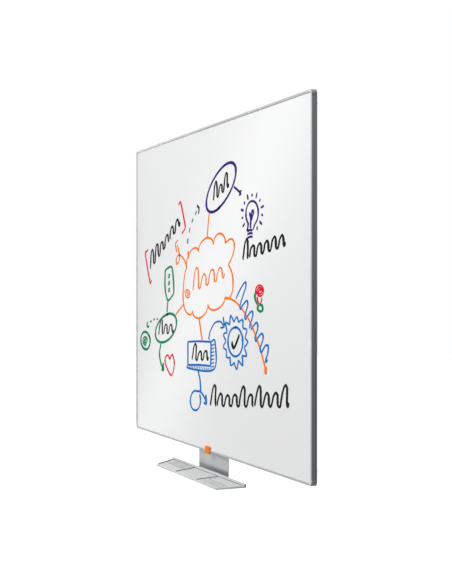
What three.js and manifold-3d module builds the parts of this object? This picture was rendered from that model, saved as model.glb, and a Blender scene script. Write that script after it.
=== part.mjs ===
// A widescreen magnetic whiteboard that hangs on two concealed wall brackets, with a sliding pen tray.
// Millimetres, +Z up, +X to the reader's right, -Y out from the wall towards the reader.
// The origin is in the wall plane, behind the centre of the board.
import * as THREE from "three";
import { mergeVertices } from "three/addons/utils/BufferGeometryUtils.js";
import Module from "manifold-3d";

const wasm = await Module();
wasm.setup();

// ---- Driving dimensions ----------------------------------------------------------------------------

const board = { width: 1220, height: 690, cornerRadius: 8, wallStandoff: 3.8 };

// The frame's extrusion. Widths run inwards from the frame's outer edge, thicknesses from front to back.
const rail = {
  faceWidth: 5,
  frontLip: 1.2,
  outerWall: 1.2,
  webWidth: 9.5,
  web: 0.8,
  channel: 2,
  rearLipWidth: 6,
  rearLip: 1,
  edgeRound: 1.5,
  windowRadius: 3,
};

// The laminated panel, from the writing face backwards.
const panel = {
  sheet: 0.5,
  glue: 0.2,
  core: 4.5,
  backing: 0.4,
  clearance: 0.2,
  edgeGap: 0.4,
  coreInset: 1.5,
};

const cap = { length: 11, jointGap: 0.2, tenonLength: 44, tenonWidth: 7.5, tenonClearance: 0.2 };

const cornerScrew = {
  inset: 26,
  headRadius: 2.1,
  headHeight: 1,
  shankRadius: 1.1,
  shankLength: 2.6,
  holeClearance: 0.15,
  recessWidth: 0.6,
  recessDepth: 0.5,
};

const tab = { width: 32, rise: 12, drop: 4, plate: 1.8, legReach: 7, legThickness: 1.4, radius: 2, gap: 0.2 };

const bumper = { length: 40, fromEnd: 115.5, gap: 0.15 };

const bracket = {
  spacing: 800,
  width: 64,
  thickness: 1.5,
  plateHeight: 46,
  upstand: 13,
  offset: 3.1,
  bend: 1.8,
  topBelowEdge: 46,
  slotLength: 16,
  slotWidth: 5,
  slotPitch: 34,
};

const hanger = { width: 52, thickness: 1.2, tongue: 10, bend: 1, wallGap: 1.2, seatGap: 0.3 };

const tray = {
  backLength: 515,
  frontLength: 445,
  depth: 51.7,
  height: 4.3,
  backHeight: 7.5,
  floor: 2,
  wall: 2.4,
  backWall: 3.3,
  cornerRadius: 3,
  tilt: THREE.MathUtils.degToRad(8),
  drop: 44.2,
  forward: 0.8,
  dividerBack: 86,
  dividerFront: 75,
  dividerWidth: 2.6,
  dividerSway: 2.4,
  dividerBelowRim: 0.2,
};

// Raised marks on the tray's floor: a lane ridge along each outer compartment, and slanting grip ribs.
const lane = {
  margin: 3.5,
  ridgeWidth: 1.4,
  ridgeHeight: 1.1,
  ribPitch: 14,
  ribWidth: 2.4,
  ribHeight: 0.8,
  ribLean: 1.5,
};

const neck = {
  width: 206,
  thickness: 1.2,
  railGap: 0.4,
  bend: 4,
  hookBend: 1,
  hookDrop: 3.6,
  foot: 38,
  seatGap: 0.3,
};

const trayScrew = {
  fromSide: 31.5,
  forwardShare: 0.55,
  headRadius: 2.6,
  headHeight: 1.3,
  shankRadius: 1.4,
  shankLength: 3.1,
  holeClearance: 0.15,
  recessWidth: 0.7,
  recessDepth: 0.6,
};

const trayPad = { width: 24, height: 12, inset: 6, belowRail: 12, gap: 0.15 };

const material = {
  enamel: new THREE.MeshStandardMaterial({ color: 0xf4f5f5, roughness: 0.16, metalness: 0 }),
  core: new THREE.MeshStandardMaterial({ color: 0x9b7a55, roughness: 0.9, metalness: 0 }),
  galvanised: new THREE.MeshStandardMaterial({ color: 0xaeb3b6, roughness: 0.42, metalness: 1 }),
  aluminium: new THREE.MeshStandardMaterial({ color: 0xb9bcbf, roughness: 0.35, metalness: 1 }),
  capPlastic: new THREE.MeshStandardMaterial({ color: 0xc3c7c9, roughness: 0.45, metalness: 0 }),
  orange: new THREE.MeshStandardMaterial({ color: 0xf57a1c, roughness: 0.4, metalness: 0 }),
  rubber: new THREE.MeshStandardMaterial({ color: 0x2b2c2e, roughness: 0.85, metalness: 0 }),
  zinc: new THREE.MeshStandardMaterial({ color: 0xc6c9cc, roughness: 0.35, metalness: 1 }),
  neck: new THREE.MeshStandardMaterial({ color: 0xaab0b3, roughness: 0.38, metalness: 0.6 }),
  tray: new THREE.MeshStandardMaterial({ color: 0xcfd1d1, roughness: 0.5, metalness: 0 }),
};

// ---- Derived depths and heights --------------------------------------------------------------------

const slotDepth = panel.clearance * 2 + panel.sheet + panel.core + panel.backing + panel.glue * 2;
const depth = {};
depth.slotStart = rail.frontLip;
depth.slotEnd = depth.slotStart + slotDepth;
depth.channelStart = depth.slotEnd + rail.web;
depth.channelEnd = depth.channelStart + rail.channel;
depth.back = depth.channelEnd + rail.rearLip;

const frontY = -(board.wallStandoff + depth.back);
const fromFront = (distance) => frontY + distance;
const topZ = board.height / 2;
const bottomZ = -board.height / 2;

// How far a cut runs past the surface it opens, how far two cuts that meet share, and how deep a raised
// mark is rooted in its floor.
const OVERCUT = 2;
const MEET = 0.01;
const ROOT = 0.5;

// ---- Solids ----------------------------------------------------------------------------------------

// A closed geometry as a solid that can be cut and joined.
function solid(geometry) {
  const bare = new THREE.BufferGeometry();
  bare.setAttribute("position", geometry.getAttribute("position"));
  if (geometry.index) bare.setIndex(geometry.index);
  const merged = mergeVertices(bare, 1e-4);
  return new wasm.Manifold(
    new wasm.Mesh({
      numProp: 3,
      vertProperties: merged.getAttribute("position").array,
      triVerts: new Uint32Array(merged.index.array),
    }),
  );
}

// A solid as a named mesh.
function piece(name, made, look) {
  const mesh = made.getMesh();
  const geometry = new THREE.BufferGeometry();
  geometry.setAttribute("position", new THREE.BufferAttribute(new Float32Array(mesh.vertProperties), 3));
  geometry.setIndex(new THREE.BufferAttribute(mesh.triVerts, 1));
  geometry.computeVertexNormals();
  const result = new THREE.Mesh(geometry, look);
  result.name = name;
  return result;
}

// A box between two corners.
function block(low, high) {
  const size = high.map((value, axis) => value - low[axis]);
  const centre = high.map((value, axis) => (value + low[axis]) / 2);
  return solid(new THREE.BoxGeometry(...size).translate(...centre));
}

// An outline drawn in X and Z, made solid between two Y values.
function slab(outline, yFront, yBack, segments = 8) {
  const geometry = new THREE.ExtrudeGeometry(outline, {
    depth: yBack - yFront,
    bevelEnabled: false,
    curveSegments: segments,
  });
  return solid(geometry.rotateX(Math.PI / 2).translate(0, yBack, 0));
}

// An outline drawn in Y and Z, made solid between two X values.
function bar(outline, xStart, xEnd, segments = 8) {
  const geometry = new THREE.ExtrudeGeometry(outline, {
    depth: xEnd - xStart,
    bevelEnabled: false,
    curveSegments: segments,
  });
  const toX = new THREE.Matrix4().makeBasis(
    new THREE.Vector3(0, 1, 0),
    new THREE.Vector3(0, 0, 1),
    new THREE.Vector3(1, 0, 0),
  );
  return solid(geometry.applyMatrix4(toX).translate(xStart, 0, 0));
}

// An outline drawn in X and Y, made solid between two Z values.
function plate(outline, zLow, zHigh, segments = 8) {
  const geometry = new THREE.ExtrudeGeometry(outline, {
    depth: zHigh - zLow,
    bevelEnabled: false,
    curveSegments: segments,
  });
  return solid(geometry.translate(0, 0, zLow));
}

// A rectangle with round corners, centred on the origin.
function roundedRectangle(width, height, radius) {
  const x = width / 2;
  const y = height / 2;
  const outline = new THREE.Shape();
  outline.moveTo(x - radius, -y);
  outline.absarc(x - radius, -y + radius, radius, -Math.PI / 2, 0, false);
  outline.absarc(x - radius, y - radius, radius, 0, Math.PI / 2, false);
  outline.absarc(-x + radius, y - radius, radius, Math.PI / 2, Math.PI, false);
  outline.absarc(-x + radius, -y + radius, radius, Math.PI, Math.PI * 1.5, false);
  outline.closePath();
  return outline;
}

// A straight-sided outline through the given points, with each corner rounded by the radius.
function roundedPolygon(points, radius) {
  const outline = new THREE.Shape();
  points.forEach(([x, y], i) => {
    const corner = new THREE.Vector2(x, y);
    const before = new THREE.Vector2(...points.at(i - 1));
    const after = new THREE.Vector2(...points[(i + 1) % points.length]);
    const into = before.sub(corner).normalize();
    const away = after.sub(corner).normalize();
    const half = Math.acos(THREE.MathUtils.clamp(into.dot(away), -1, 1)) / 2;
    const trim = radius / Math.tan(half);
    const start = corner.clone().addScaledVector(into, trim);
    const end = corner.clone().addScaledVector(away, trim);
    if (i === 0) outline.moveTo(start.x, start.y);
    else outline.lineTo(start.x, start.y);
    outline.quadraticCurveTo(corner.x, corner.y, end.x, end.y);
  });
  outline.closePath();
  return outline;
}

// The edge of a bent sheet: corners are on its middle line, and each inner one has its own bend radius.
function bentSheet(corners, bends, thickness) {
  const stations = [];
  const points = corners.map(([y, z]) => new THREE.Vector2(y, z));
  const direction = (i) => points[i + 1].clone().sub(points[i]).normalize();
  stations.push({ at: points[0], along: direction(0) });
  for (let i = 1; i < points.length - 1; i += 1) {
    const into = direction(i - 1);
    const away = direction(i);
    const turn = Math.atan2(into.cross(away), into.dot(away));
    const radius = bends[i - 1];
    const side = Math.sign(turn);
    const start = points[i].clone().addScaledVector(into, -radius * Math.tan(Math.abs(turn) / 2));
    const inward = new THREE.Vector2(-into.y, into.x).multiplyScalar(side);
    const centre = start.clone().addScaledVector(inward, radius);
    const steps = Math.max(4, Math.ceil(Math.abs(turn) * Math.sqrt(radius) * 3));
    for (let k = 0; k <= steps; k += 1) {
      const angle = (turn * k) / steps;
      const spoke = start.clone().sub(centre).rotateAround(new THREE.Vector2(), angle);
      const along = into.clone().rotateAround(new THREE.Vector2(), angle);
      stations.push({ at: centre.clone().add(spoke), along });
    }
  }
  stations.push({ at: points.at(-1), along: direction(points.length - 2) });
  const face = (offset) =>
    stations.map(({ at, along }) => new THREE.Vector2(-along.y, along.x).multiplyScalar(offset).add(at));
  return new THREE.Shape([...face(-thickness / 2), ...face(thickness / 2).reverse()]);
}

// A pan-head screw along Y: its head's seat is at y = 0, the head behind it and the shank in front.
function screw(size) {
  const crown = size.headRadius * 0.62;
  const profile = [
    [0, -size.shankLength],
    [size.shankRadius * 0.6, -size.shankLength],
    [size.shankRadius, -size.shankLength + size.shankRadius * 0.5],
    [size.shankRadius, 0],
    [size.headRadius, 0],
    [size.headRadius, size.headHeight * 0.45],
    [crown, size.headHeight],
    [0, size.headHeight],
  ].map(([radius, y]) => new THREE.Vector2(radius, y));
  const turned = solid(new THREE.LatheGeometry(profile, 16));
  const arm = crown * 0.85;
  const half = size.recessWidth / 2;
  const bottom = size.headHeight - size.recessDepth;
  const high = size.headHeight + OVERCUT;
  return turned
    .subtract(block([-arm, bottom, -half], [arm, high, half]))
    .subtract(block([-half, bottom, -arm], [half, high, arm]));
}

// A round hole along Y.
function hole(x, z, radius, yFront, yBack) {
  const length = yBack - yFront;
  return solid(new THREE.CylinderGeometry(radius, radius, length, 16).translate(x, (yFront + yBack) / 2, z));
}

// ---- Frame -----------------------------------------------------------------------------------------

// A space inside the frame, its edge set in from the frame's outer edge.
function frameVoid(inset, radius, frontDepth, backDepth) {
  const outline = roundedRectangle(board.width - inset * 2, board.height - inset * 2, radius);
  return slab(outline, fromFront(frontDepth), fromFront(backDepth));
}

const innerRadius = board.cornerRadius - rail.outerWall;
const channelVoid = frameVoid(rail.outerWall, innerRadius, depth.channelStart, depth.channelEnd);

// The whole frame as one ring, which is then divided into four rails and four corner caps.
function frameRing() {
  const round = rail.edgeRound;
  const outline = roundedRectangle(board.width, board.height, board.cornerRadius);
  const geometry = new THREE.ExtrudeGeometry(outline, {
    depth: depth.back - round * 2,
    bevelEnabled: true,
    bevelThickness: round,
    bevelSize: round,
    bevelOffset: -round,
    bevelSegments: 4,
    curveSegments: 8,
  });
  return solid(geometry.rotateX(Math.PI / 2).translate(0, fromFront(depth.back - round), 0))
    .subtract(frameVoid(rail.faceWidth, rail.windowRadius, -OVERCUT, depth.slotStart + MEET))
    .subtract(frameVoid(rail.outerWall, innerRadius, depth.slotStart, depth.slotEnd))
    .subtract(frameVoid(rail.webWidth, rail.windowRadius, depth.slotEnd - MEET, depth.channelStart + MEET))
    .subtract(channelVoid)
    .subtract(frameVoid(rail.rearLipWidth, rail.windowRadius, depth.channelEnd - MEET, depth.back + OVERCUT));
}

const corners = [
  { name: "top_left", x: -1, z: 1 },
  { name: "top_right", x: 1, z: 1 },
  { name: "bottom_left", x: -1, z: -1 },
  { name: "bottom_right", x: 1, z: -1 },
];

// A corner's two screws: one through the level rail and one through the upright rail.
function screwPlaces(corner) {
  const fromEdge = (rail.outerWall + rail.rearLipWidth) / 2;
  const place = (arm, x, z) => {
    return { arm, x: corner.x * (board.width / 2 - x), z: corner.z * (board.height / 2 - z) };
  };
  return [place("across", cornerScrew.inset, fromEdge), place("down", fromEdge, cornerScrew.inset)];
}

function drillForScrews(made, radius) {
  const front = fromFront(depth.channelStart + cap.tenonClearance / 2);
  const back = fromFront(depth.back + OVERCUT);
  return corners
    .flatMap(screwPlaces)
    .reduce((drilled, { x, z }) => drilled.subtract(hole(x, z, radius, front, back)), made);
}

function rails(ring) {
  const drilled = drillForScrews(ring, cornerScrew.shankRadius + cornerScrew.holeClearance);
  const endX = board.width / 2 - cap.length - cap.jointGap / 2;
  const endZ = board.height / 2 - cap.length - cap.jointGap / 2;
  const outX = board.width / 2 + OVERCUT;
  const outZ = board.height / 2 + OVERCUT;
  const inX = board.width / 2 - rail.webWidth - OVERCUT / 2;
  const inZ = board.height / 2 - rail.webWidth - OVERCUT / 2;
  const front = fromFront(-OVERCUT);
  const back = fromFront(depth.back + OVERCUT);
  const cuts = {
    rail_top: block([-endX, front, inZ], [endX, back, outZ]),
    rail_bottom: block([-endX, front, -outZ], [endX, back, -inZ]),
    rail_left: block([-outX, front, -endZ], [-inX, back, endZ]),
    rail_right: block([inX, front, -endZ], [outX, back, endZ]),
  };
  return Object.entries(cuts).map(([name, cut]) => piece(name, drilled.intersect(cut), material.aluminium));
}

// A box that reaches inwards from the frame's outer corner by two distances along each of X and Z.
function cornerBlock(corner, [xNear, xFar], [zNear, zFar], frontDepth, backDepth) {
  const x = [corner.x * (board.width / 2 - xNear), corner.x * (board.width / 2 - xFar)];
  const z = [corner.z * (board.height / 2 - zNear), corner.z * (board.height / 2 - zFar)];
  return block(
    [Math.min(...x), fromFront(frontDepth), Math.min(...z)],
    [Math.max(...x), fromFront(backDepth), Math.max(...z)],
  );
}

// A moulded corner: the frame's own section carried round the bend, with a tenon for each rail.
function cornerCap(ring, corner) {
  const end = cap.length - cap.jointGap / 2;
  const body = cornerBlock(corner, [-OVERCUT, end], [-OVERCUT, end], -OVERCUT, depth.back + OVERCUT);
  const fill = cornerBlock(corner, [0, end], [0, end], depth.channelStart, depth.channelEnd);
  const arm = [rail.outerWall + cap.tenonClearance, cap.tenonWidth + cap.tenonClearance];
  const thick = [depth.channelStart + cap.tenonClearance, depth.channelEnd - cap.tenonClearance];
  const across = cornerBlock(corner, [cap.length / 2, cap.tenonLength], arm, ...thick);
  const down = cornerBlock(corner, arm, [cap.length / 2, cap.tenonLength], ...thick);
  const whole = ring.intersect(body).add(fill.intersect(channelVoid)).add(across).add(down);
  const drilled = drillForScrews(whole, cornerScrew.shankRadius + cornerScrew.holeClearance / 3);
  return piece(`corner_cap_${corner.name}`, drilled, material.capPlastic);
}

function cornerScrews(corner) {
  const made = screw(cornerScrew);
  return screwPlaces(corner).map(({ arm, x, z }) => {
    const mesh = piece(`corner_screw_${corner.name}_${arm}`, made, material.zinc);
    mesh.position.set(x, fromFront(depth.back) + cornerScrew.holeClearance / 3, z);
    return mesh;
  });
}

// ---- Panel -----------------------------------------------------------------------------------------

const panelInset = rail.outerWall + panel.edgeGap;
const sheetStart = depth.slotStart + panel.clearance;
const coreStart = sheetStart + panel.sheet + panel.glue;
const backingStart = coreStart + panel.core + panel.glue;

function panelLayer(name, inset, start, thickness, look) {
  const radius = Math.max(board.cornerRadius - inset, 1);
  const outline = roundedRectangle(board.width - inset * 2, board.height - inset * 2, radius);
  return piece(name, slab(outline, fromFront(start), fromFront(start + thickness)), look);
}

function panelLayers() {
  return [
    panelLayer("writing_sheet", panelInset, sheetStart, panel.sheet, material.enamel),
    panelLayer("core_board", panelInset + panel.coreInset, coreStart, panel.core, material.core),
    panelLayer("backing_sheet", panelInset, backingStart, panel.backing, material.galvanised),
  ];
}

// ---- Tab and bumpers -------------------------------------------------------------------------------

// A coloured tab on the middle of the lower rail: a front plate, with a leg that runs back under the rail.
function frontTab() {
  const low = bottomZ - tab.drop;
  const high = bottomZ + tab.rise;
  const outline = roundedRectangle(tab.width, high - low, tab.radius);
  const centred = slab(outline, fromFront(-tab.gap - tab.plate), fromFront(-tab.gap), 5);
  const face = centred.translate([0, 0, (low + high) / 2]);
  const legTop = bottomZ - tab.gap;
  const half = tab.width / 2 - tab.radius;
  const leg = block(
    [-half, fromFront(-tab.gap - tab.plate / 2), legTop - tab.legThickness],
    [half, fromFront(tab.legReach), legTop],
  );
  return piece("orange_tab", face.add(leg), material.orange);
}

// A rubber strip behind the lower rail, which keeps the frame off the wall and stops the tray's travel.
function wallBumper(name, side) {
  const outer = board.width / 2 - bumper.fromEnd;
  const x = [side * outer, side * (outer - bumper.length)];
  const front = fromFront(depth.back) + bumper.gap;
  return piece(
    name,
    block([Math.min(...x), front, bottomZ + bumper.gap], [Math.max(...x), 0, bottomZ + rail.rearLipWidth]),
    material.rubber,
  );
}

// ---- Wall brackets and hangers ---------------------------------------------------------------------

const seatZ = topZ - bracket.topBelowEdge;

// A steel bracket on the wall: a slotted plate, stepped forward at its top into an upstand.
function wallBracket(name, side) {
  const half = bracket.thickness / 2;
  const upstandY = -(bracket.offset + half);
  const stepZ = seatZ - bracket.upstand;
  const outline = bentSheet(
    [
      [-half, stepZ - bracket.plateHeight],
      [-half, stepZ - half],
      [upstandY, stepZ + half],
      [upstandY, seatZ],
    ],
    [bracket.bend, bracket.bend],
    bracket.thickness,
  );
  const centre = (side * bracket.spacing) / 2;
  const slotOutline = roundedRectangle(bracket.slotLength, bracket.slotWidth, bracket.slotWidth / 2 - 0.01);
  const slot = slab(slotOutline, -bracket.thickness - OVERCUT, OVERCUT);
  const slotZ = stepZ - bracket.plateHeight / 2 - bracket.bend;
  const made = [-1, 1].reduce(
    (cut, along) => cut.subtract(slot.translate([centre + (along * bracket.slotPitch) / 2, 0, slotZ])),
    bar(outline, centre - bracket.width / 2, centre + bracket.width / 2),
  );
  return piece(name, made, material.zinc);
}

// A steel hanger: its top runs in the upper rail's channel, and its tongue drops behind the upstand.
function hangerPlate(name, side) {
  const channelY = fromFront((depth.channelStart + depth.channelEnd) / 2);
  const tongueY = -(hanger.wallGap + hanger.thickness / 2);
  const stepZ = seatZ + hanger.seatGap + hanger.thickness / 2;
  const outline = bentSheet(
    [
      [channelY, topZ - rail.outerWall - hanger.seatGap],
      [channelY, stepZ],
      [tongueY, stepZ],
      [tongueY, stepZ - hanger.tongue],
    ],
    [hanger.bend, hanger.bend],
    hanger.thickness,
  );
  const centre = (side * bracket.spacing) / 2;
  return piece(name, bar(outline, centre - hanger.width / 2, centre + hanger.width / 2), material.zinc);
}

// ---- Pen tray --------------------------------------------------------------------------------------

// The tray's own frame: its origin is the middle of the back edge of its underside, and it leans forward.
const trayFrame = new THREE.Group();
trayFrame.position.set(0, frontY - tray.forward, bottomZ - tray.drop);
trayFrame.rotation.x = tray.tilt;

// Half the tray's length at a distance forward of its back edge, less an inset measured along X.
const taper = (tray.backLength - tray.frontLength) / 2 / (tray.depth - tray.backWall);
const halfLength = (forward) => tray.backLength / 2 - Math.max(0, forward - tray.backWall) * taper;
const endWall = tray.wall * Math.hypot(1, taper);

// A divider's middle line, which leans with the ends and sways once each way.
function dividerX(side, forward) {
  const share = forward / tray.depth;
  const straight = THREE.MathUtils.lerp(tray.dividerBack, tray.dividerFront, share);
  return side * straight + tray.dividerSway * Math.sin(share * Math.PI * 2);
}

function dividerEdge(side, offset, reverse) {
  const steps = 12;
  const stations = Array.from({ length: steps + 1 }, (_, i) => (tray.depth * i) / steps);
  if (reverse) stations.reverse();
  return stations.map((forward) => new THREE.Vector2(dividerX(side, forward) + offset, -forward));
}

// The hollow of the tray inside its walls, seen from above.
function hollowOutline() {
  const back = tray.backWall;
  const front = tray.depth - tray.wall;
  const xBack = halfLength(back) - endWall;
  const xFront = halfLength(front) - endWall;
  const points = [
    [-xFront, -front],
    [xFront, -front],
    [xBack, -back],
    [-xBack, -back],
  ];
  return roundedPolygon(points, tray.cornerRadius / 2);
}

function slantingRibs(xStart, xEnd, backEdge, frontEdge) {
  const lean = (frontEdge - backEdge) * lane.ribLean;
  const half = lane.ribWidth / 2;
  const ribs = [];
  for (let x = xStart + lean + half; x < xEnd - half; x += lane.ribPitch) {
    const outline = new THREE.Shape([
      new THREE.Vector2(x - half, -frontEdge),
      new THREE.Vector2(x + half, -frontEdge),
      new THREE.Vector2(x + half - lean, -backEdge),
      new THREE.Vector2(x - half - lean, -backEdge),
    ]);
    ribs.push(plate(outline, tray.floor - ROOT, tray.floor + lane.ribHeight));
  }
  return ribs;
}

function floorMarks() {
  const back = tray.backWall;
  const front = tray.depth - tray.wall;
  const middle = (back + front) / 2;
  const half = lane.ridgeWidth / 2;
  const start = tray.dividerBack + tray.dividerWidth + tray.dividerSway + lane.margin;
  const end = halfLength(front) - endWall - lane.margin;
  const ridge = (from, to) =>
    block([from, -middle - half, tray.floor - ROOT], [to, -middle + half, tray.floor + lane.ridgeHeight]);
  return [
    ridge(-end, -start),
    ridge(start, end),
    ...slantingRibs(-end, -start, back + lane.margin, middle - half - lane.margin / 2),
    ...slantingRibs(start, end, middle + half + lane.margin / 2, front - lane.margin),
  ];
}

function trayBody() {
  const back = tray.backLength / 2;
  const front = tray.frontLength / 2;
  const outline = new THREE.Shape();
  const round = tray.cornerRadius;
  outline.moveTo(-back, 0);
  outline.lineTo(-back, -tray.backWall);
  outline.lineTo(-front - round * taper, -tray.depth + round);
  outline.quadraticCurveTo(-front, -tray.depth, -front + round, -tray.depth);
  outline.lineTo(front - round, -tray.depth);
  outline.quadraticCurveTo(front, -tray.depth, front + round * taper, -tray.depth + round);
  outline.lineTo(back, -tray.backWall);
  outline.lineTo(back, 0);
  outline.closePath();
  const hollow = plate(hollowOutline(), tray.floor, tray.height + OVERCUT);
  const strip = block([-back, -tray.backWall, 0], [back, 0, tray.backHeight]);
  let made = plate(outline, 0, tray.height).subtract(hollow).add(strip);
  const half = tray.dividerWidth / 2;
  const dividerTop = tray.height - tray.dividerBelowRim;
  for (const side of [-1, 1]) {
    const wavy = new THREE.Shape([...dividerEdge(side, -half, false), ...dividerEdge(side, half, true)]);
    made = made.add(plate(wavy, tray.floor - ROOT, dividerTop));
  }
  for (const mark of floorMarks()) made = made.add(mark);
  for (const x of trayScrewPlaces) made = made.subtract(trayScrewHole(x, trayScrew.holeClearance / 3));
  return piece("pen_tray", made, material.tray);
}

const screwSpacing = neck.width / 2 - trayScrew.fromSide;
const trayScrewPlaces = [-screwSpacing, 0, screwSpacing];
const screwForward = neck.foot * trayScrew.forwardShare;
const footTop = -neck.seatGap;
const footBottom = footTop - neck.thickness;

function trayScrewHole(x, clearance) {
  const top = footBottom + trayScrew.shankLength + clearance;
  const radius = trayScrew.shankRadius + clearance;
  const length = top - footBottom + OVERCUT;
  const cylinder = new THREE.CylinderGeometry(radius, radius, length, 16).rotateX(Math.PI / 2);
  return solid(cylinder.translate(x, -screwForward, top - length / 2));
}

function trayScrews() {
  return trayScrewPlaces.map((x, i) => {
    const mesh = piece(`tray_screw_${i + 1}`, screw(trayScrew), material.zinc);
    mesh.rotation.x = -Math.PI / 2;
    mesh.position.set(x, -screwForward, footBottom - trayScrew.holeClearance / 3);
    return mesh;
  });
}

// A point in the tray's frame, given as forward and up, turned into Y and Z.
function trayPoint(forward, up) {
  const { position } = trayFrame;
  const sin = Math.sin(tray.tilt);
  const cos = Math.cos(tray.tilt);
  return [position.y - forward * cos - up * sin, position.z - forward * sin + up * cos];
}

const neckY = fromFront(depth.back) + neck.railGap + neck.thickness / 2;

// The tray's support: one bent sheet that hooks over the lower rail's rear lip and runs under the tray.
function trayNeck() {
  const hookY = fromFront((depth.channelStart + depth.channelEnd) / 2);
  const overZ = bottomZ + rail.rearLipWidth + neck.railGap + neck.thickness / 2;
  const under = footTop - neck.thickness / 2;
  const kneeForward = (trayFrame.position.y - under * Math.sin(tray.tilt) - neckY) / Math.cos(tray.tilt);
  const outline = bentSheet(
    [
      [hookY, overZ - neck.hookDrop],
      [hookY, overZ],
      [neckY, overZ],
      trayPoint(kneeForward, under),
      trayPoint(neck.foot, under),
    ],
    [neck.hookBend, neck.hookBend, neck.bend],
    neck.thickness,
  );
  const sheet = bar(outline, -neck.width / 2, neck.width / 2);
  const holes = new THREE.Matrix4().compose(
    trayFrame.position,
    new THREE.Quaternion().setFromEuler(trayFrame.rotation),
    new THREE.Vector3(1, 1, 1),
  );
  const drilled = trayScrewPlaces.reduce(
    (cut, x) => cut.subtract(trayScrewHole(x, trayScrew.holeClearance).transform(holes.elements)),
    sheet,
  );
  return piece("tray_neck", drilled, material.neck);
}

// A rubber pad on the neck's back, which takes the tray's weight against the wall.
function neckPad(name, side) {
  const outer = neck.width / 2 - trayPad.inset;
  const x = [side * outer, side * (outer - trayPad.width)];
  const top = bottomZ - trayPad.belowRail;
  const front = neckY + neck.thickness / 2 + trayPad.gap;
  return piece(
    name,
    block([Math.min(...x), front, top - trayPad.height], [Math.max(...x), 0, top]),
    material.rubber,
  );
}

// ---- Assembly --------------------------------------------------------------------------------------

const whiteboard = new THREE.Group();
const ring = frameRing();
whiteboard.add(...panelLayers(), ...rails(ring), frontTab());
for (const corner of corners) whiteboard.add(cornerCap(ring, corner), ...cornerScrews(corner));
for (const [word, side] of [["left", -1], ["right", 1]]) {
  whiteboard.add(
    wallBumper(`wall_bumper_${word}`, side),
    wallBracket(`wall_bracket_${word}`, side),
    hangerPlate(`hanger_plate_${word}`, side),
    neckPad(`neck_pad_${word}`, side),
  );
}
trayFrame.add(trayBody(), ...trayScrews());
whiteboard.add(trayNeck(), trayFrame);

export default whiteboard;
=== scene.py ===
# %% [markdown]
# # A wall whiteboard with a sliding pen tray
#
# The model arrives as a frame: a set of plain solids in their true places, in metres. Everything here is
# built round it. X runs to the reader's right, Y into the wall and Z up, and the origin lies in the wall
# plane behind the centre of the board. A piece takes its place from the frame's own boxes, so it fits
# without being measured twice.

# %% Load the frame
import math
import random

import bmesh
import bpy
from mathutils import Matrix, Vector


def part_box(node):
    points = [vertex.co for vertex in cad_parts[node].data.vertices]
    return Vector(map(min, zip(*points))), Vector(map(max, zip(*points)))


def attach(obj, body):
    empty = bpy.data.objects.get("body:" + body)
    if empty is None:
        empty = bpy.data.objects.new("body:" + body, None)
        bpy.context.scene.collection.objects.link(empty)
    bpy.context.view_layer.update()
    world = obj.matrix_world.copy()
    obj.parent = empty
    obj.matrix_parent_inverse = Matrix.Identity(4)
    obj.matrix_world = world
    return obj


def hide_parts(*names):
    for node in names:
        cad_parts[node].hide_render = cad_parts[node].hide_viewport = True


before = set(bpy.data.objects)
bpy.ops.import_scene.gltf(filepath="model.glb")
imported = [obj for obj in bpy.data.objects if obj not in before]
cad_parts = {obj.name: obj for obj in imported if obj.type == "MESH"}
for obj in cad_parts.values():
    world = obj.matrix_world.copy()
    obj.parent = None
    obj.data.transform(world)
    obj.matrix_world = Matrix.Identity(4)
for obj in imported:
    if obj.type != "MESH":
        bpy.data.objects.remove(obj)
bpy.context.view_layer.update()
MM = 0.001
MICRON = 0.000001


def span(node):
    """A node's lowest and highest corners, as vectors."""
    low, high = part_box(node)
    return Vector(low), Vector(high)


frame_front = span("rail_right")[0].y
sheet_low, sheet_high = span("writing_sheet")
sheet_front = sheet_low.y
board_right = span("rail_right")[1].x
board_top = span("rail_top")[1].z
print("board", round(board_right * 2, 3), "x", round(board_top * 2, 3), "m; front at", round(frame_front, 4))

# %% [markdown]
# ## Camera
#
# The board is seen from its right at a steep angle, from the height of its centre. A short lens from close
# by would show it too, but would shrink its far end to a sliver, so the lens is long. The camera stays
# level, and a small shift centres the view instead of a tilt, so upright edges stay upright.

# %% Camera
VIEW_TURN = math.radians(72.24)
VIEW_BACK = 0.943
VIEW_ASIDE = 3.069
EYE_HEIGHT = -0.0106
LENS = 93.6
SENSOR_WIDTH = 36
RISE = 0.0029
FARTHEST = 100

camera_data = bpy.data.cameras.new("camera")
camera_data.lens = LENS
camera_data.sensor_width = SENSOR_WIDTH
camera_data.shift_y = RISE
camera_data.clip_end = FARTHEST
camera = bpy.data.objects.new("camera", camera_data)
camera.location = (VIEW_ASIDE, frame_front - VIEW_BACK, EYE_HEIGHT)
camera.rotation_euler = (math.pi / 2, 0, VIEW_TURN)
bpy.context.scene.collection.objects.link(camera)
bpy.context.scene.camera = camera
bpy.context.scene.view_settings.view_transform = "Standard"
print("camera", round(camera.location.length, 2), "m from the board's centre")

# %% [markdown]
# ## Shader maths as plain expressions
#
# Every finish below is made of nodes, because nodes need no pictures and have no seams. Wiring them by hand
# is slow to read, so one small class wraps a socket and lets Python's own operators add the Math nodes:
# with it `0.2 + 0.1 * grain` is a shader. Colours go through Mix nodes, which keep all three channels.

# %% Sockets that take operators
class Socket:
    """One output of a node. Its operators add Math nodes to the same tree."""

    def __init__(self, nodes, output):
        self.nodes = nodes
        self.output = output

    def maths(self, operation, *values):
        return self.nodes.node("ShaderNodeMath", {"operation": operation}, dict(enumerate(values)))

    def __add__(self, other):
        return self.maths("ADD", self, other)

    def __sub__(self, other):
        return self.maths("SUBTRACT", self, other)

    def __rsub__(self, other):
        return self.maths("SUBTRACT", other, self)

    def __mul__(self, other):
        return self.maths("MULTIPLY", self, other)

    def __abs__(self):
        return self.maths("ABSOLUTE", self)

    __radd__ = __add__
    __rmul__ = __mul__


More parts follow.
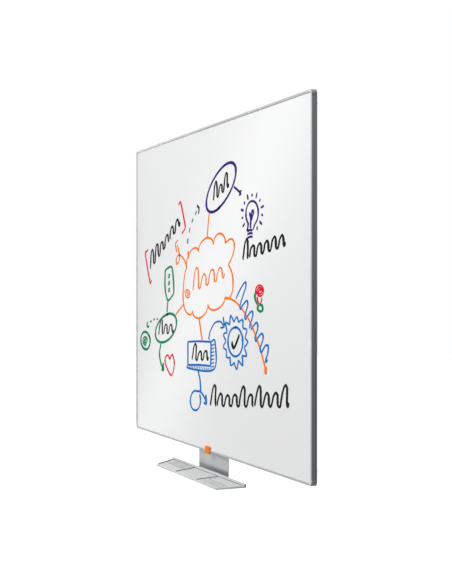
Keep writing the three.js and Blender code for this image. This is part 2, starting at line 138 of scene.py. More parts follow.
print("a socket takes +, -, * and abs()")

# %% [markdown]
# ## One method that adds any node
#
# A node has settings, which have to be set first, and sockets, which take a value or a link. One method
# does both, so a finish reads as a list of what feeds what. The room's light is made of nodes too, so the
# method sits in a class of its own that works on any tree.

# %% Nodes
class Nodes:
    """A tree of nodes under construction."""

    def __init__(self, tree):
        self.tree = tree

    def node(self, kind, settings=None, sockets=None, output=0):
        """Adds a node: its settings first, then the values and links of its sockets."""
        made = self.tree.nodes.new(kind)
        for key, value in (settings or {}).items():
            if key == "stops":
                self.set_stops(made.color_ramp, value)
            else:
                setattr(made, key, value)
        for key, value in (sockets or {}).items():
            if isinstance(value, Socket):
                self.tree.links.new(value.output, made.inputs[key])
            else:
                made.inputs[key].default_value = value
        return Socket(self, made.outputs[output])

    @staticmethod
    def set_stops(ramp, stops):
        while len(ramp.elements) > 1:
            ramp.elements.remove(ramp.elements[-1])
        for i, (place, value) in enumerate(stops):
            element = ramp.elements[0] if i == 0 else ramp.elements.new(place)
            element.position = place
            element.color = (value, value, value, 1) if isinstance(value, (int, float)) else (*value, 1)

    def ramp(self, factor, stops):
        return self.node("ShaderNodeValToRGB", {"stops": stops}, {"Fac": factor})


print("one method adds any node")

# %% [markdown]
# ## A finish
#
# A finish is a tree that ends in one shader. Its helpers are the nodes that nearly every finish here uses:
# noise in the object's own metres, so that grain has a true size, a smooth fade between two places, a mix
# of two colours, and a bump.

# %% Finishes
class Finish(Nodes):
    """A material under construction."""

    def __init__(self, name):
        self.material = bpy.data.materials.new(name)
        self.material.use_nodes = True
        super().__init__(self.material.node_tree)
        self.shader = self.tree.nodes["Principled BSDF"]

    def place(self, scale=(1, 1, 1), turn=(0, 0, 0)):
        """The object's own coordinates in metres, stretched and turned."""
        coordinates = self.node("ShaderNodeTexCoord", output="Object")
        return self.node(
            "ShaderNodeMapping", sockets={"Vector": coordinates, "Scale": scale, "Rotation": turn}
        )

    def axis(self, letter):
        """One of the object's own coordinates, in metres."""
        return self.node("ShaderNodeSeparateXYZ", sockets={"Vector": self.place()}, output=letter)

    def fade(self, value, start, end):
        """0 at the start, 1 at the end, and smooth between them."""
        limits = {"Value": value, "From Min": start, "From Max": end}
        return self.node("ShaderNodeMapRange", {"interpolation_type": "SMOOTHSTEP"}, limits)

    def noise(self, scale, detail=3, rough=0.5, stretch=(1, 1, 1), turn=(0, 0, 0)):
        sockets = {"Vector": self.place(stretch, turn), "Scale": scale, "Detail": detail, "Roughness": rough}
        return self.node("ShaderNodeTexNoise", {"normalize": True}, sockets)

    def blend(self, factor, first, second):
        """Two colours mixed by a factor."""
        made = self.tree.nodes.new("ShaderNodeMix")
        made.data_type = "RGBA"
        for socket, value in zip((made.inputs[0], made.inputs[6], made.inputs[7]), (factor, first, second)):
            if isinstance(value, Socket):
                self.tree.links.new(value.output, socket)
            else:
                socket.default_value = value if isinstance(value, (int, float)) else (*value, 1)
        return Socket(self, made.outputs[2])

    def bump(self, height, depth):
        """A normal from a height between 0 and 1, and its depth in metres."""
        return self.node("ShaderNodeBump", sockets={"Height": height, "Distance": depth, "Strength": 1.0})

    def done(self, **sockets):
        """Sets or links the shader's own sockets, and returns the material."""
        for key, value in sockets.items():
            socket = self.shader.inputs[key.replace("_", " ")]
            if isinstance(value, Socket):
                self.tree.links.new(value.output, socket)
            else:
                socket.default_value = (*value, 1) if isinstance(value, tuple) else value
        return self.material


print("shader helpers ready")

# %% [markdown]
# ## The enamelled writing face
#
# Whiteboard enamel is glass fused to steel. It is almost white, very even and glossy, with the faint ripple
# that fired glass always has. Use leaves a haze where dry ink was wiped off in long strokes. It sits in the
# roughness, where only a reflection shows it, and it is weak, because a mirror-like face shows every
# change.

# %% Enamel
def make_enamel():
    finish = Finish("enamel")
    wipes = finish.noise(7, detail=2, stretch=(0.35, 1, 1.8), turn=(0, math.radians(24), 0))
    haze = finish.noise(1.6, detail=1)
    ripple = finish.noise(30, detail=1, rough=0.3)
    return finish.done(
        Base_Color=finish.blend(haze, (0.868, 0.868, 0.866), (0.858, 0.859, 0.86)),
        Roughness=0.13 + 0.02 * wipes + 0.02 * haze,
        Normal=finish.bump(ripple, 4 * MICRON),
    )


enamel = make_enamel()
print("enamel:", len(enamel.node_tree.nodes), "nodes")

# %% [markdown]
# ## Aluminium
#
# The frame is extruded. The die draws fine lines along it, and anodising then dulls them, so its grain is
# noise stretched a hundred times along the rail, in one finish for level rails and one for upright ones.
# Fully metallic rails would mirror the bright room and vanish against it, so the finish is dull and only
# partly metallic, which keeps the thin frame readable.

# %% Aluminium
DRAWN = 0.01


def make_anodised(name, along):
    finish = Finish(name)
    stretch = (DRAWN, 1, 1) if along == "x" else (1, 1, DRAWN)
    grain = finish.noise(3500, stretch=stretch)
    cloud = finish.noise(9)
    colour = finish.blend(grain, (0.53, 0.54, 0.547), (0.62, 0.627, 0.633))
    return finish.done(
        Base_Color=colour,
        Metallic=0.3,
        Specular_IOR_Level=0.15,
        Roughness=0.5 + 0.12 * grain + 0.05 * cloud,
        Normal=finish.bump(grain, 10 * MICRON),
    )


anodised_level = make_anodised("anodised_level", "x")
anodised_upright = make_anodised("anodised_upright", "z")
print("aluminium: level and upright")

# %% [markdown]
# ## The neck's paint
#
# The neck is bent sheet with a satin paint that has metal flake in it. A fine noise is the flake, and a
# thin coat over it is the lacquer. Its foot, where it runs under the tray, has a painted shade. A lamp could
# cast that shade, but only from one side, so it is a darker tone in the paint that fades in with height.

# %% Neck paint
NECK_FOOT = span("pen_tray")[1].z
# Painted shade on the neck's foot: it begins 10 mm above the tray's top and is full 1 mm above it.
SHADE_START = NECK_FOOT + 10 * MM
SHADE_FULL = NECK_FOOT + MM


def make_neck_paint():
    finish = Finish("neck_paint")
    flake = finish.noise(5200, detail=1)
    cloud = finish.noise(14, detail=4, stretch=(1, 1, 0.3))
    # Painted shade: a mask that rises towards the neck's foot.
    painted_shade = finish.fade(finish.axis("Z"), SHADE_START, SHADE_FULL)
    colour = finish.blend(flake, (0.58, 0.605, 0.62), (0.68, 0.7, 0.71))
    return finish.done(
        # The neck's colour fades to a darker grey at its foot: painted shade.
        Base_Color=finish.blend(painted_shade, colour, (0.32, 0.323, 0.33)),
        Metallic=0.55,
        Roughness=0.3 + 0.1 * cloud + 0.08 * flake,
        Coat_Weight=0.2,
        Coat_Roughness=0.25,
        Normal=finish.bump(flake, 6 * MICRON),
    )


neck_paint = make_neck_paint()
print("neck paint darkens over", round((SHADE_START - SHADE_FULL) / MM), "mm")

# %% [markdown]
# ## Zinc and galvanised steel
#
# Brackets, hangers and screws are zinc plated, a cloudy bright coat. The panel's back is hot galvanised,
# which grows large flat crystals. They could be drawn by hand, but each cell of a Voronoi texture already
# looks like one, with a shade and a roughness of its own.

# %% Zinc and galvanised steel
def make_zinc():
    finish = Finish("zinc_plate")
    cloud = finish.noise(60, detail=5, rough=0.65)
    colour = finish.blend(cloud, (0.56, 0.58, 0.6), (0.7, 0.69, 0.66))
    return finish.done(
        Base_Color=colour,
        Metallic=1.0,
        Roughness=0.28 + 0.2 * cloud,
        Normal=finish.bump(finish.noise(900, detail=2), 10 * MICRON),
    )


def make_galvanised():
    finish = Finish("galvanised")
    wobble = finish.noise(40, detail=2)
    crystals = finish.node(
        "ShaderNodeTexVoronoi",
        {"feature": "F1"},
        {"Vector": finish.place(), "Scale": 95, "Randomness": 1.0},
        output="Color",
    )
    shade = finish.node("ShaderNodeSeparateColor", sockets={"Color": crystals})
    colour = finish.blend(shade, (0.42, 0.44, 0.455), (0.58, 0.6, 0.61))
    return finish.done(
        Base_Color=colour,
        Metallic=0.85,
        Roughness=0.34 + 0.16 * shade + 0.08 * wobble,
        Normal=finish.bump(shade, 20 * MICRON),
    )


zinc = make_zinc()
galvanised = make_galvanised()
print("zinc:", len(zinc.node_tree.nodes), "nodes; galvanised:", len(galvanised.node_tree.nodes), "nodes")

# %% [markdown]
# ## Plastics, rubber and board
#
# The caps and the tab are moulded in tools with a spark-eroded texture, a fine even grain that takes the
# shine off. A texture could be stamped as a pattern, but noise has no repeat to give it away. The tab's
# grain is shallower, and its sheen is kept very low, because a pale reflection would wash out its strong
# colour. Rubber is dark and dry, and the fibreboard core shows short pressed fibres on its edge.

# %% Plastics and the rest
def moulded_noise(finish):
    """The fine grain of a textured tool, and a slow cloud over it."""
    return finish.noise(2600, detail=2, rough=0.6), finish.noise(22, detail=4, rough=0.6)


def make_moulded(name, light, dark, texture_depth, gloss=0.5):
    finish = Finish(name)
    grain, cloud = moulded_noise(finish)
    return finish.done(
        Base_Color=finish.blend(0.3 * cloud, light, dark),
        Roughness=0.42 + 0.1 * cloud + 0.06 * grain,
        Specular_IOR_Level=gloss,
        Normal=finish.bump(grain, texture_depth),
    )


def make_rubber():
    finish = Finish("rubber")
    grain = finish.noise(1400)
    bloom = finish.noise(120, detail=4)
    return finish.done(
        Base_Color=finish.blend(bloom, (0.022, 0.022, 0.024), (0.05, 0.05, 0.052)),
        Roughness=0.75 + 0.15 * grain,
        Normal=finish.bump(grain, 30 * MICRON),
    )


def make_fibreboard():
    finish = Finish("fibreboard")
    fibre = finish.noise(900, detail=5, rough=0.7, stretch=(0.3, 1, 0.3))
    return finish.done(
        Base_Color=finish.blend(fibre, (0.2, 0.125, 0.07), (0.42, 0.29, 0.18)),
        Roughness=0.85 + 0.1 * fibre,
        Normal=finish.bump(fibre, 50 * MICRON),
    )


cap_plastic = make_moulded("cap_plastic", (0.62, 0.64, 0.65), (0.5, 0.52, 0.53), 12 * MICRON)
orange_plastic = make_moulded(
    "orange_plastic", (1, 0.215, 0.006), (0.98, 0.19, 0.005), 5 * MICRON, gloss=0.04
)
rubber = make_rubber()
fibreboard = make_fibreboard()
print("plastics, rubber and fibreboard ready")

# %% [markdown]
# ## Ink
#
# Dry marker ink is a thin film of pigment, and it is matte, although the enamel under it is glossy. It is
# denser where the nib slowed down and streaky where it ran fast. So each colour is a full and a thinner
# tone, and stretched noise goes from one to the other.

# %% Ink colours
INKS = {
    "black": ((0.008, 0.008, 0.009), (0.03, 0.03, 0.033)),
    "blue": ((0.003, 0.155, 0.52), (0.008, 0.2, 0.6)),
    "purple": ((0.032, 0.009, 0.15), (0.065, 0.02, 0.26)),
    "green": ((0.001, 0.225, 0.09), (0.004, 0.3, 0.125)),
    "red": ((0.78, 0.003, 0.025), (0.84, 0.012, 0.045)),
    "orange": ((0.96, 0.19, 0.002), (0.97, 0.225, 0.004)),
}


def make_ink(name, full, thin):
    finish = Finish("ink_" + name)
    streak = finish.noise(140, detail=4, rough=0.65, stretch=(0.5, 1, 1))
    return finish.done(
        Base_Color=finish.blend(finish.ramp(streak, [(0.35, 0.0), (0.75, 1.0)]), full, thin),
        Roughness=0.6 + 0.2 * streak,
        Specular_IOR_Level=0.03,
    )


inks = {name: make_ink(name, *tones) for name, tones in INKS.items()}
print("inks:", ", ".join(inks))

# %% [markdown]
# ## Softened edges
#
# No real edge is perfectly sharp: extrusions leave the die with a small radius, and punched sheet is
# tumbled. The frame's solids have hard edges, so each visible one is taken over by a copy whose edges are
# bevelled. The copy's triangles are first merged back into flat faces, because a bevel that meets a stray
# diagonal makes a mess of it.

# %% Softened copies of the frame's solids
SHARP = math.radians(38)
FLAT = math.radians(0.6)
SAME_PLACE = MICRON
pieces = {}


def add_piece(name, mesh, body, material, slot, *nodes):
    """A mesh as an object that rides on a body and stands for the frame's nodes."""
    made = bpy.data.objects.new(name, mesh)
    bpy.context.scene.collection.objects.link(made)
    mesh.materials.clear()
    mesh.materials.append(material)
    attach(made, body)
    if nodes:
        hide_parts(*nodes)
    pieces[name] = made
    return made


def finish_shading(shape):
    """Smooth faces, with the sharp edges marked."""
    for face in shape.faces:
        face.smooth = True
    for edge in shape.edges:
        edge.smooth = len(edge.link_faces) != 2 or edge.calc_face_angle(0) < SHARP


def softened(node, body, material, slot, radius, segments=2):
    """A copy of a node with its sharp edges rounded."""
    shape = bmesh.new()
    shape.from_mesh(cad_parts[node].data)
    bmesh.ops.remove_doubles(shape, verts=shape.verts, dist=SAME_PLACE)
    bmesh.ops.dissolve_limit(
        shape,
        angle_limit=FLAT,
        verts=shape.verts,
        edges=shape.edges,
        use_dissolve_boundaries=False,
    )
    sharp = [e for e in shape.edges if len(e.link_faces) == 2 and e.calc_face_angle(0) > SHARP]
    bmesh.ops.bevel(
        shape,
        geom=sharp,
        offset=radius,
        segments=segments,
        profile=0.5,
        affect="EDGES",
        clamp_overlap=True,
        loop_slide=True,
    )
    finish_shading(shape)
    mesh = bpy.data.meshes.new(node)
    shape.to_mesh(mesh)
    shape.free()
    return add_piece(node + "_made", mesh, body, material, slot, node)


print("edges sharper than", round(math.degrees(SHARP)), "degrees are rounded")

# %% [markdown]
# ## Which edge gets which radius
#
# The radius follows from how a piece is made. Extrusions and moulded caps are almost sharp, and tumbled
# sheet a little less so. The tab and the rubber pieces are well rounded, so they get one more step round
# the edge.

# %% The softened pieces
RAIL_EDGE = 0.12 * MM
CAP_EDGE = 0.15 * MM
SHEET_EDGE = 0.2 * MM
SOFT_EDGE = 0.5 * MM
BUMPER_EDGE = 0.6 * MM

for side in ("top", "bottom"):
    softened("rail_" + side, "board", anodised_level, "anodised", RAIL_EDGE)
for side in ("left", "right"):
    softened("rail_" + side, "board", anodised_upright, "anodised", RAIL_EDGE)
for corner in ("top_left", "top_right", "bottom_left", "bottom_right"):
    softened("corner_cap_" + corner, "board", cap_plastic, "cap_plastic", CAP_EDGE)
softened("orange_tab", "board", orange_plastic, "orange_plastic", SOFT_EDGE, 3)
for side in ("left", "right"):
    softened("wall_bracket_" + side, "wall_brackets", zinc, "zinc", SHEET_EDGE)
    softened("hanger_plate_" + side, "hangers", zinc, "zinc", SHEET_EDGE)
    softened("wall_bumper_" + side, "board", rubber, "rubber", BUMPER_EDGE, 3)
    softened("neck_pad_" + side, "tray", rubber, "rubber", SOFT_EDGE, 3)
softened("tray_neck", "tray", neck_paint, "neck_metal", SHEET_EDGE)
print("softened pieces:", len(pieces))

# %% [markdown]
# ## Nodes that keep their own mesh
#
# The flat panel layers and the small screws could be copied and softened as well, but the rails cover the
# layers' edges and a screw is too small for a softened edge to show. They are already the shape that they
# should be, so they only take a finish.

# %% Finishes on the frame's own meshes
def dress(node, material):
    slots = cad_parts[node].data.materials
    slots.clear()
    slots.append(material)


dress("writing_sheet", enamel)
dress("core_board", fibreboard)
dress("backing_sheet", galvanised)
screws = [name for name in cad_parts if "screw" in name]
for name in screws:
    dress(name, zinc)
print("dressed:", 3 + len(screws), "nodes")

# %% [markdown]
# ## The pen tray
#
# The tray is one moulding: a shallow dish with three compartments. It could be cut from a block and
# bevelled, but its fillets and ribs run into each other, where bevels fail. All of it is a height over a
# floor plan, so the tray is made as a fine grid whose height comes from the distance to each wall. The plan
# comes first: straight back, slightly slanted ends, rounded front corners, and two dividers that sway. The
# whole tray then leans forward about its back lower edge.

# %% Tray: the floor plan
TRAY_DEPTH = 51.7 * MM
TRAY_HEIGHT = 4.3 * MM
BACK_HEIGHT = 7.5 * MM
TRAY_TILT = math.radians(8)
FLOOR = 2 * MM
WALL = 2.4 * MM
BACK_WALL = 3.3 * MM
BACK_HALF = span("pen_tray")[1].x
FRONT_HALF = 222.5 * MM
RIM_ROUND = 2.1 * MM
BACK_ROUND = 0.6 * MM
FRONT_CORNER = 3 * MM
CORNER_BITE = 0.8 * FRONT_CORNER
DIVIDER_BACK = 86 * MM
DIVIDER_FRONT = 75 * MM
DIVIDER_SWAY = 2.4 * MM
DIVIDER_HALF = 1.3 * MM
DIVIDER_SOFT = 0.6 * MM
DIVIDER_TOP = TRAY_HEIGHT - 0.2 * MM
TAPER = (BACK_HALF - FRONT_HALF) / (TRAY_DEPTH - BACK_WALL)
SLANT = math.hypot(1, TAPER)


def tray_half(forward):
    """Half the tray's length at a distance forward of its back edge."""
    half = BACK_HALF - max(0, forward - BACK_WALL) * TAPER
    into_corner = max(0, forward - (TRAY_DEPTH - FRONT_CORNER)) / FRONT_CORNER
    return half - CORNER_BITE * (1 - math.sqrt(max(0, 1 - into_corner**2)))


def divider_at(side, forward):
    share = forward / TRAY_DEPTH
    straight = DIVIDER_BACK + (DIVIDER_FRONT - DIVIDER_BACK) * share
    return side * straight + DIVIDER_SWAY * math.sin(share * math.tau)


print("tray", round(BACK_HALF * 2, 3), "m long at the back and", round(FRONT_HALF * 2, 3), "m at the front")

# %% [markdown]
# ## The tray's height
#
# Moulded walls lean a little so that the part leaves its tool, they meet the floor in a fillet, and their
# top edges are round. Each of these is a smooth step in the distance to a wall, so small functions of a
# distance add up to the whole height, with nothing to join. The outer compartments have a ridge along them,
# so that a pen stays in its half, and slanting ribs that make it easy to pick up.

# %% Tray: the height at any point
FILLET_BEFORE = 0.3 * MM
FILLET_BEYOND = 0.7 * MM
LANE_MARGIN = 3.5 * MM
LANE_FADE = 2 * MM
RIDGE = 1.1 * MM
RIDGE_HALF = 0.9 * MM
RIDGE_SOFT = 0.4 * MM
RIB = 0.8 * MM
RIB_HALF = 1.1 * MM
RIB_SOFT = 0.7 * MM
RIB_PITCH = 14 * MM
RIB_LEAN = 1.5
RIB_CLEAR = 2 * MM
LANE_MIDDLE = (BACK_WALL + TRAY_DEPTH - WALL) / 2
LANE_START = DIVIDER_BACK + 2 * DIVIDER_HALF + DIVIDER_SWAY + LANE_MARGIN
LANE_END = tray_half(TRAY_DEPTH - WALL) - WALL * SLANT - LANE_MARGIN


def ease(value, start, end):
    """0 before the start, 1 after the end, and smooth between them."""
    share = min(1, max(0, (value - start) / (end - start)))
    return share * share * (3 - 2 * share)


def crest(distance, half, soft):
    """1 on the middle of a raised line, and 0 beyond its soft sides."""
    return 1 - ease(abs(distance), half - soft, half + soft)


def wall_height(inward, thickness, top):
    """The height of a leaning wall and the fillet at its foot, at a distance in from its outer face."""
    return top - (top - FLOOR) * ease(inward, thickness - FILLET_BEFORE, thickness + FILLET_BEYOND)


def rounded_off(inward, radius):
    """How far a rounded edge has fallen, at a distance in from its outer face."""
    share = 1 - min(1, max(0, inward / radius))
    return radius * (1 - math.sqrt(1 - share * share))


def lane_marks(x, forward):
    """The ridge along an outer compartment, and the slanting grip ribs on one side of it."""
    begun = ease(abs(x), LANE_START, LANE_START + LANE_FADE)
    inside = begun * (1 - ease(abs(x), LANE_END - LANE_FADE, LANE_END))
    ridge = RIDGE * crest(forward - LANE_MIDDLE, RIDGE_HALF, RIDGE_SOFT)
    if x < 0:
        first, last = BACK_WALL + LANE_MARGIN, LANE_MIDDLE - RIB_CLEAR
    else:
        first, last = LANE_MIDDLE + RIB_CLEAR, TRAY_DEPTH - WALL - LANE_MARGIN
    within = ease(forward, first - MM, first) * (1 - ease(forward, last, last + MM))
    across = (x - forward * RIB_LEAN) % RIB_PITCH - RIB_PITCH / 2
    return inside * max(ridge, RIB * within * crest(across, RIB_HALF, RIB_SOFT))


def tray_height(x, forward):
    """The tray's height over a point: the highest of its parts there, less the rounding of its rim."""
    from_end = (tray_half(forward) - abs(x)) / SLANT
    from_front = TRAY_DEPTH - forward
    height = max(
        wall_height(from_end, WALL, TRAY_HEIGHT),
        wall_height(from_front, WALL, TRAY_HEIGHT),
        wall_height(forward, BACK_WALL, BACK_HEIGHT),
        FLOOR + lane_marks(x, forward),
    )
    for side in (-1, 1):
        raised = crest(x - divider_at(side, forward), DIVIDER_HALF, DIVIDER_SOFT)
        height = max(height, FLOOR + (DIVIDER_TOP - FLOOR) * raised)
    radius = BACK_ROUND + (RIM_ROUND - BACK_ROUND) * ease(forward, BACK_WALL, 2 * BACK_WALL)
    return height - max(rounded_off(forward, BACK_ROUND), rounded_off(min(from_end, from_front), radius))


print("lanes from", round(LANE_START / MM), "to", round(LANE_END / MM), "mm")

# %% [markdown]
# ## The tray's plastic
#
# The tray is moulded with the same grain as the caps. Its ridges, ribs and the inside of its walls are
# darker:
# painted shade, which also stands for the ink dust that settles there in use. It could be placed by noise,
# but then it would not follow the shape. So the shader works out where a point lies in the leaning tray,
# from how far up, forward and in from the end it is, and darkens what rises above the floor, up to just
# under the rim. The outer faces are not darkened.

# %% Tray: the plastic
# Heights over the floor where the painted shade, which also stands for dust, begins and is full; the rim's
# top is left out.
SHADE_DUST_FROM = FLOOR + 0.1 * MM
SHADE_DUST_FULL = FLOOR + 0.95 * MM
RIM_UNSHADED = 0.4 * MM
FACE_OUTER = MM
FACE_INNER = 1.8 * MM
tray_low, tray_high = span("pen_tray")
TRAY_ORIGIN = Vector((0, tray_high.y, tray_low.z + TRAY_DEPTH * math.sin(TRAY_TILT)))
TRAY_UP = Vector((0, -math.sin(TRAY_TILT), math.cos(TRAY_TILT)))
TRAY_FORWARD = Vector((0, -math.cos(TRAY_TILT), -math.sin(TRAY_TILT)))


def make_tray_plastic():
    """Moulded grain, and painted shade inside, on every ridge, rib and wall, that also stands for settled
    dust.
    """
    finish = Finish("tray_plastic")
    grain, cloud = moulded_noise(finish)
    y, z = finish.axis("Y"), finish.axis("Z")
    height = TRAY_UP.y * y + TRAY_UP.z * z - TRAY_UP.dot(TRAY_ORIGIN)
    forward = TRAY_FORWARD.y * y + TRAY_FORWARD.z * z - TRAY_FORWARD.dot(TRAY_ORIGIN)
    from_end = BACK_HALF + BACK_WALL * TAPER - TAPER * forward - abs(finish.axis("X"))
    # The painted shade, which also stands for dust, stays off the outer faces of the end and front walls.
    inside = finish.fade(from_end, SLANT * FACE_OUTER, SLANT * FACE_INNER)
    inside *= finish.fade(forward, TRAY_DEPTH - FACE_OUTER, TRAY_DEPTH - FACE_INNER)
    raised = finish.fade(height, SHADE_DUST_FROM, SHADE_DUST_FULL)
    raised *= finish.fade(height, TRAY_HEIGHT, TRAY_HEIGHT - RIM_UNSHADED)
    unshaded = finish.blend(0.3 * cloud, (0.64, 0.65, 0.65), (0.54, 0.55, 0.55))
    return finish.done(
        # The dark grey is painted shade on ridges, ribs and inner walls, and it also stands for dust.
        Base_Color=finish.blend(inside * raised * (0.85 + 0.3 * cloud), unshaded, (0.22, 0.226, 0.23)),
        Roughness=0.5 + 0.1 * cloud + 0.06 * grain,
        Specular_IOR_Level=0.15,
        Normal=finish.bump(grain, 16 * MICRON),
    )


tray_plastic = make_tray_plastic()
print("tray plastic:", len(tray_plastic.node_tree.nodes), "nodes")

# %% [markdown]
# ## The tray's grid
#
# An even grid fine enough for the walls would have far too many faces on the floor. So the grid's lines
# stand closer together near its edges and dividers, and its columns follow the slanted ends and the swaying
# dividers, which keeps every edge crisp with few faces.

# %% Tray: the grid
NEAR_END = (0, 0.12, 0.35, 0.65, 0.95, 1.4, 1.9, 2.2, 2.5, 2.8, 3.1, 3.5, 4.0)
LANE_STEP = 0.65 * MM
MIDDLE_STEP = 2 * MM
ROW_STEP = 0.8 * MM


def graded(length, step):
    """Stations along a length, a step apart, and closer together near either end."""
    near = [d * MM for d in NEAR_END]
    rest = length - 2 * near[-1]
    count = max(1, round(rest / step))
    middle = [near[-1] + rest * i / count for i in range(1, count)]
    return near + middle + [length - d for d in reversed(near)]


def column_shares():
    """Each column as a zone between two lines that run from back to front, and its share of the way."""
    lines = [
        lambda f: -tray_half(f),
        lambda f: divider_at(-1, f),
        lambda f: divider_at(1, f),
        tray_half,
    ]
    widths = (BACK_HALF - DIVIDER_BACK, 2 * DIVIDER_BACK, BACK_HALF - DIVIDER_BACK)
    steps = (LANE_STEP, MIDDLE_STEP, LANE_STEP)
    columns = [(lines[0], lines[1], 0)]
    for first, second, width, step in zip(lines, lines[1:], widths, steps):
        columns += [(first, second, station / width) for station in graded(width, step)[1:]]
    return columns


def height_grid(shape):
    """The tray's upper surface, with its back edge along X and its front towards -Y."""
    columns = column_shares()
    top = []
    for forward in graded(TRAY_DEPTH, ROW_STEP):
        line = []
        for first, second, share in columns:
            x = first(forward) * (1 - share) + second(forward) * share
            line.append(shape.verts.new((x, -forward, tray_height(x, forward))))
        top.append(line)
    for near, far in zip(top, top[1:]):
        for a, b, c, d in zip(near, near[1:], far[1:], far):
            shape.faces.new((d, c, b, a))


print("grid:", len(graded(TRAY_DEPTH, ROW_STEP)), "rows by", len(column_shares()), "columns")

# %% [markdown]
# ## The tray's outside
#
# The grid is only a surface. A Solidify modifier would follow every rib on the underside too, but a
# moulding stands flat. So the surface's rim is drawn down to make the walls, turned in a little at the
# foot, and closed with one flat face.

# %% Tray: the walls and the underside
FOOT = 0.5 * MM
FOOT_INSET = 0.4 * MM


def drawn_out(shape, edges):
    """New walls from an open rim: their new vertices, and their new open rim."""
    made = bmesh.ops.extrude_edge_only(shape, edges=edges)["geom"]
    corners = [v for v in made if isinstance(v, bmesh.types.BMVert)]
    return corners, [e for e in made if isinstance(e, bmesh.types.BMEdge) and e.is_boundary]


def make_tray():
    shape = bmesh.new()
    height_grid(shape)
    lower, rim = drawn_out(shape, [e for e in shape.edges if e.is_boundary])
    for vertex in lower:
        vertex.co.z = FOOT
    foot, rim = drawn_out(shape, rim)
    for vertex in foot:
        inward = Vector((0, -TRAY_DEPTH / 2, 0)) - vertex.co
        vertex.co.x += math.copysign(min(abs(inward.x), FOOT), inward.x)
        vertex.co.y += math.copysign(FOOT_INSET, inward.y)
        vertex.co.z = 0
    bmesh.ops.contextual_create(shape, geom=rim)
    bmesh.ops.recalc_face_normals(shape, faces=shape.faces)
    finish_shading(shape)
    shape.transform(Matrix.Translation(TRAY_ORIGIN) @ Matrix.Rotation(TRAY_TILT, 4, "X"))
    mesh = bpy.data.meshes.new("pen_tray")
    shape.to_mesh(mesh)
    shape.free()
    return mesh


tray_mesh = make_tray()
add_piece("pen_tray_made", tray_mesh, "tray", tray_plastic, "tray_plastic", "pen_tray")
print("tray:", len(tray_mesh.polygons), "faces")

# %% [markdown]
# ## A marker's nib
#
# The drawing on the board is ink, and ink has a body: a film that a raking light catches. A flat image
# could stand for it, but would blur from close by. So each stroke is a very thin closed ribbon that sits on
# the enamel. A chisel nib gives a line that is thick one way and thin the other. One mesh gathers all the
# strokes of one colour, and later strokes lie a hair higher, as ink over ink does.

# %% Nib
NIB_ANGLE = math.radians(12)
NIB_CONTRAST = 0.6
NIB_WIDTH = 2.55
BLUNT_END = 0.09
SHORTEST = 0.05
INK_FILM = 0.1 * MM
INK_STEP = 0.0015 * MM
INK_ROOT = 0.02 * MM
BOARD_CENTRE = Vector((0, sheet_front, (sheet_low.z + sheet_high.z) / 2))


def curve_through(points, step=3.0):
    """A Catmull-Rom curve through points in millimetres, as a list of points about a step apart."""
    last = len(points) - 1
    smooth = []
    for i in range(last):
        p = [Vector(points[min(max(i + k, 0), last)]) for k in (-1, 0, 1, 2)]
        count = max(2, round((p[2] - p[1]).length / step))
        for t in (j / count for j in range(count)):
            square = (2 * p[0] - 5 * p[1] + 4 * p[2] - p[3]) * t**2
            cube = (3 * p[1] - p[0] - 3 * p[2] + p[3]) * t**3
            smooth.append(0.5 * (2 * p[1] + (p[2] - p[0]) * t + square + cube))
    smooth.append(Vector(points[-1]))
    return smooth


class Nib:
    """One colour of ink, and all the ribbons made with it."""

    strokes = 0

    def __init__(self, colour):
        self.colour = colour
        self.shape = bmesh.new()

    def vertex(self, point, depth):
        return self.shape.verts.new(BOARD_CENTRE + Vector((point.x, depth, point.y)) * MM)

    def trace(self, points, width):
        """A ribbon along points in millimetres from the board's centre."""
        path = [Vector(p) for p in points]
        path = [p for i, p in enumerate(path) if i == 0 or (p - path[i - 1]).length > SHORTEST]
        if len(path) < 2:
            return
        lengths = [0.0]
        for a, b in zip(path, path[1:]):
            lengths.append(lengths[-1] + (b - a).length)
        high = -(INK_FILM + INK_STEP * Nib.strokes)
        Nib.strokes += 1
        rings = []
        for i, point in enumerate(path):
            along = (path[min(i + 1, len(path) - 1)] - path[max(i - 1, 0)]).normalized()
            angle = math.atan2(along.y, along.x)
            nib = 1 - NIB_CONTRAST * abs(math.cos(angle - NIB_ANGLE))
            to_end = min(lengths[i], lengths[-1] - lengths[i]) / (width / 2)
            cap = math.sqrt(max(BLUNT_END, 1 - max(0, 1 - to_end) ** 2))
            half = width * NIB_WIDTH / 2 * nib * cap
            side = Vector((-along.y, along.x)) * half
            left, right = point - side, point + side
            corners = ((left, INK_ROOT), (left, high), (right, high), (right, INK_ROOT))
            rings.append([self.vertex(p, depth / MM) for p, depth in corners])
        for a, b in zip(rings, rings[1:]):
            for k in range(4):
                self.shape.faces.new((a[k], b[k], b[(k + 1) % 4], a[(k + 1) % 4]))
        self.shape.faces.new(rings[0])
        self.shape.faces.new(list(reversed(rings[-1])))

    def stroke(self, points, width):
        self.trace(curve_through(points), width)

    def lay_down(self):
        """Ends the drawing in this colour, and lays its ribbons on the board as one piece."""
        bmesh.ops.recalc_face_normals(self.shape, faces=self.shape.faces)
        for face in self.shape.faces:
            face.smooth = False
        mesh = bpy.data.meshes.new("ink_" + self.colour)
        self.shape.to_mesh(mesh)
        self.shape.free()
        add_piece("ink_" + self.colour, mesh, "board", inks[self.colour], "enamel")


print("the film is", round(INK_FILM / MM, 2), "mm thick")

# %% [markdown]
# ## The hand that draws
#
# A few shapes come back all over such a drawing: rings, spirals, arrow heads, dots and the waves that stand
# for words. Perfect ellipses would look printed, so a ring grows and wobbles a little, and a full one
# overlaps its own start. Chance comes from a seed given with each shape, so the drawing is the same each
# time.

